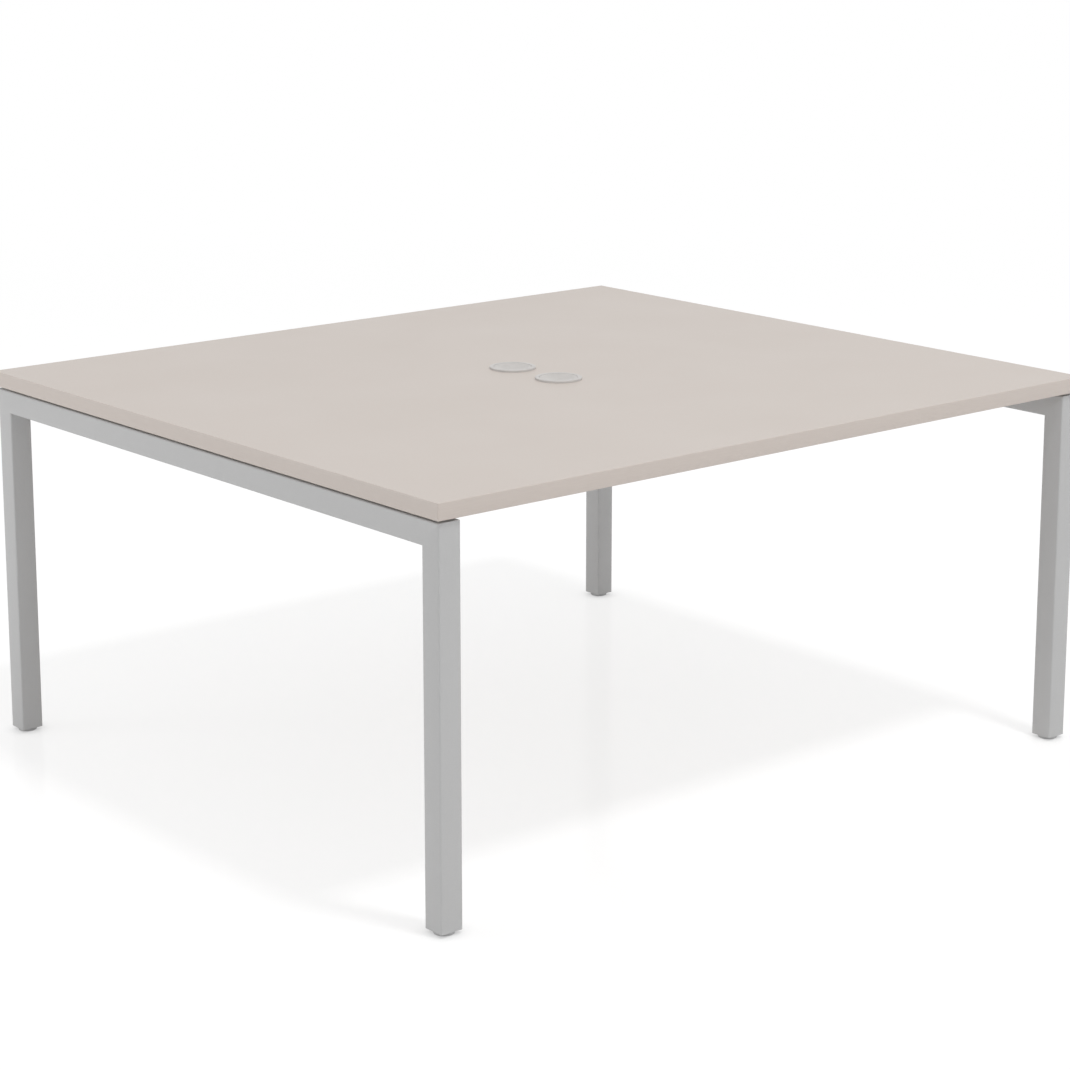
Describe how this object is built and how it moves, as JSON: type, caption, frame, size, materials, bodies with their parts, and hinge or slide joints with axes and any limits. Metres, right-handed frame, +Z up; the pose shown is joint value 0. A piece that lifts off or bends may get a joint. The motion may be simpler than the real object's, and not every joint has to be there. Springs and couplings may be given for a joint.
{
  "type": "office table",
  "caption": "Rectangular office bench table: pale board with round cable ports on portal frames of square steel tube, with a shadow gap and levelling feet.",
  "frame": {"origin": "on the floor, under the middle of the top", "axes": "+X along the long side of the top, from the left frame to the right one; +Y from the front edge to the rear edge; +Z up"},
  "size_m": [1.6, 1.42, 0.744],
  "materials": {
    "board": "melamine-faced particle board, pale greige, fine matt texture",
    "edge_band": "2 mm plastic edge band in the board's colour, rounded edges",
    "frame_paint": "silver-grey powder coat, fine satin",
    "port_plastic": "silver-grey moulded plastic, satin",
    "foot_plastic": "grey moulded nylon",
    "black_nylon": "black moulded nylon",
    "zinc_steel": "bright zinc-plated steel",
    "brass": "turned brass"
  },
  "bodies": {
    "table": {"top_panel": "board", "edge_band_front": "edge_band", "edge_band_rear": "edge_band", "edge_band_left": "edge_band", "edge_band_right": "edge_band", "crossbar_left": "frame_paint", "crossbar_right": "frame_paint", "leg_front_left": "frame_paint", "beam_plate_front_left": "frame_paint", "leg_plug_front_left": "black_nylon", "leg_rear_left": "frame_paint", "beam_plate_rear_left": "frame_paint", "leg_plug_rear_left": "black_nylon", "leg_front_right": "frame_paint", "beam_plate_front_right": "frame_paint", "leg_plug_front_right": "black_nylon", "leg_rear_right": "frame_paint", "beam_plate_rear_right": "frame_paint", "leg_plug_rear_right": "black_nylon", "beam_front": "frame_paint", "port_sleeve_front": "port_plastic", "beam_rear": "frame_paint", "port_sleeve_rear": "port_plastic", "beam_bolts": "zinc_steel", "beam_washers": "zinc_steel", "beam_rivet_nuts": "zinc_steel", "top_screws": "zinc_steel", "top_spacers": "black_nylon", "top_inserts": "brass"},
    "pad_front_left": {"foot_pad_front_left": "foot_plastic"},
    "stud_front_left": {"foot_stud_front_left": "zinc_steel"},
    "pad_rear_left": {"foot_pad_rear_left": "foot_plastic"},
    "stud_rear_left": {"foot_stud_rear_left": "zinc_steel"},
    "pad_front_right": {"foot_pad_front_right": "foot_plastic"},
    "stud_front_right": {"foot_stud_front_right": "zinc_steel"},
    "pad_rear_right": {"foot_pad_rear_right": "foot_plastic"},
    "stud_rear_right": {"foot_stud_rear_right": "zinc_steel"},
    "cap_front": {"port_cap_front": "port_plastic"},
    "cap_rear": {"port_cap_rear": "port_plastic"}
  },
  "joints": [
    {"name": "foot_front_left_slide", "type": "slide", "parent": "table", "child": "pad_front_left", "axis": [0, 0, -1], "range_m": [0, 0.015]},
    {"name": "foot_front_left_turn", "type": "hinge", "parent": "pad_front_left", "child": "stud_front_left", "pos_m": [-0.7725, -0.6825, 0.006], "axis": [0, 0, -1], "range_deg": [0, 4320]},
    {"name": "foot_rear_left_slide", "type": "slide", "parent": "table", "child": "pad_rear_left", "axis": [0, 0, -1], "range_m": [0, 0.015]},
    {"name": "foot_rear_left_turn", "type": "hinge", "parent": "pad_rear_left", "child": "stud_rear_left", "pos_m": [-0.7725, 0.6825, 0.006], "axis": [0, 0, -1], "range_deg": [0, 4320]},
    {"name": "foot_front_right_slide", "type": "slide", "parent": "table", "child": "pad_front_right", "axis": [0, 0, -1], "range_m": [0, 0.015]},
    {"name": "foot_front_right_turn", "type": "hinge", "parent": "pad_front_right", "child": "stud_front_right", "pos_m": [0.7725, -0.6825, 0.006], "axis": [0, 0, -1], "range_deg": [0, 4320]},
    {"name": "foot_rear_right_slide", "type": "slide", "parent": "table", "child": "pad_rear_right", "axis": [0, 0, -1], "range_m": [0, 0.015]},
    {"name": "foot_rear_right_turn", "type": "hinge", "parent": "pad_rear_right", "child": "stud_rear_right", "pos_m": [0.7725, 0.6825, 0.006], "axis": [0, 0, -1], "range_deg": [0, 4320]},
    {"name": "cap_front_turn", "type": "hinge", "parent": "table", "child": "cap_front", "pos_m": [0, -0.07, 0.74], "axis": [0, 0, 1], "continuous": true},
    {"name": "cap_rear_turn", "type": "hinge", "parent": "table", "child": "cap_rear", "pos_m": [0, 0.07, 0.74], "axis": [0, 0, 1], "continuous": true}
  ],
  "couplings": [
    {"joint": "foot_front_left_slide", "follows": "foot_front_left_turn", "m_per_rad": 0.00019894},
    {"joint": "foot_rear_left_slide", "follows": "foot_rear_left_turn", "m_per_rad": 0.00019894},
    {"joint": "foot_front_right_slide", "follows": "foot_front_right_turn", "m_per_rad": 0.00019894},
    {"joint": "foot_rear_right_slide", "follows": "foot_rear_right_turn", "m_per_rad": 0.00019894}
  ]
}
